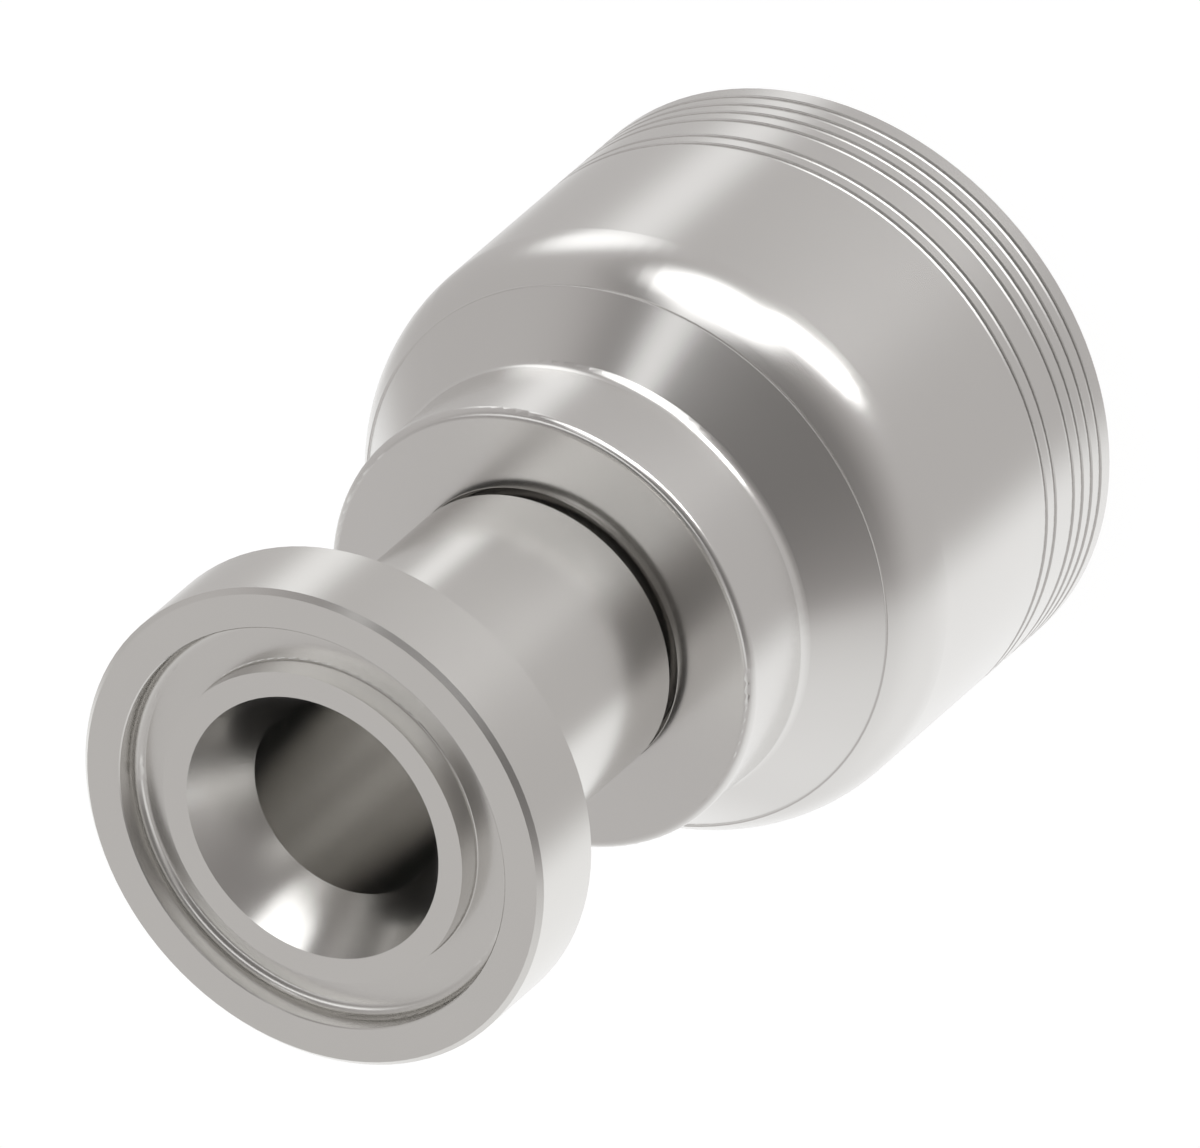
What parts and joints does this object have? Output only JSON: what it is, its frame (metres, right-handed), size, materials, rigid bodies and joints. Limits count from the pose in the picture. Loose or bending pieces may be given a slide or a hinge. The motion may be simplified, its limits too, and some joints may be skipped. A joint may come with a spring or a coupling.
{
  "type": "flange hose fitting",
  "caption": "Straight crimp hose fitting: a turned stem with a flange head, ring groove and through bore, and a shell with collar, cone and fine grooves pressed round its barbed tail.",
  "frame": {"origin": "centre of the shell's open end, on which the fitting stands", "axes": "+Z along the common axis, towards the sealing face of the flange head"},
  "size_m": [0.0672, 0.0672, 0.1054],
  "materials": {
    "stem_steel": "satin turned steel",
    "shell_steel": "satin turned steel"
  },
  "bodies": {
    "root": {"stem": "stem_steel", "shell": "shell_steel"}
  },
  "joints": []
}
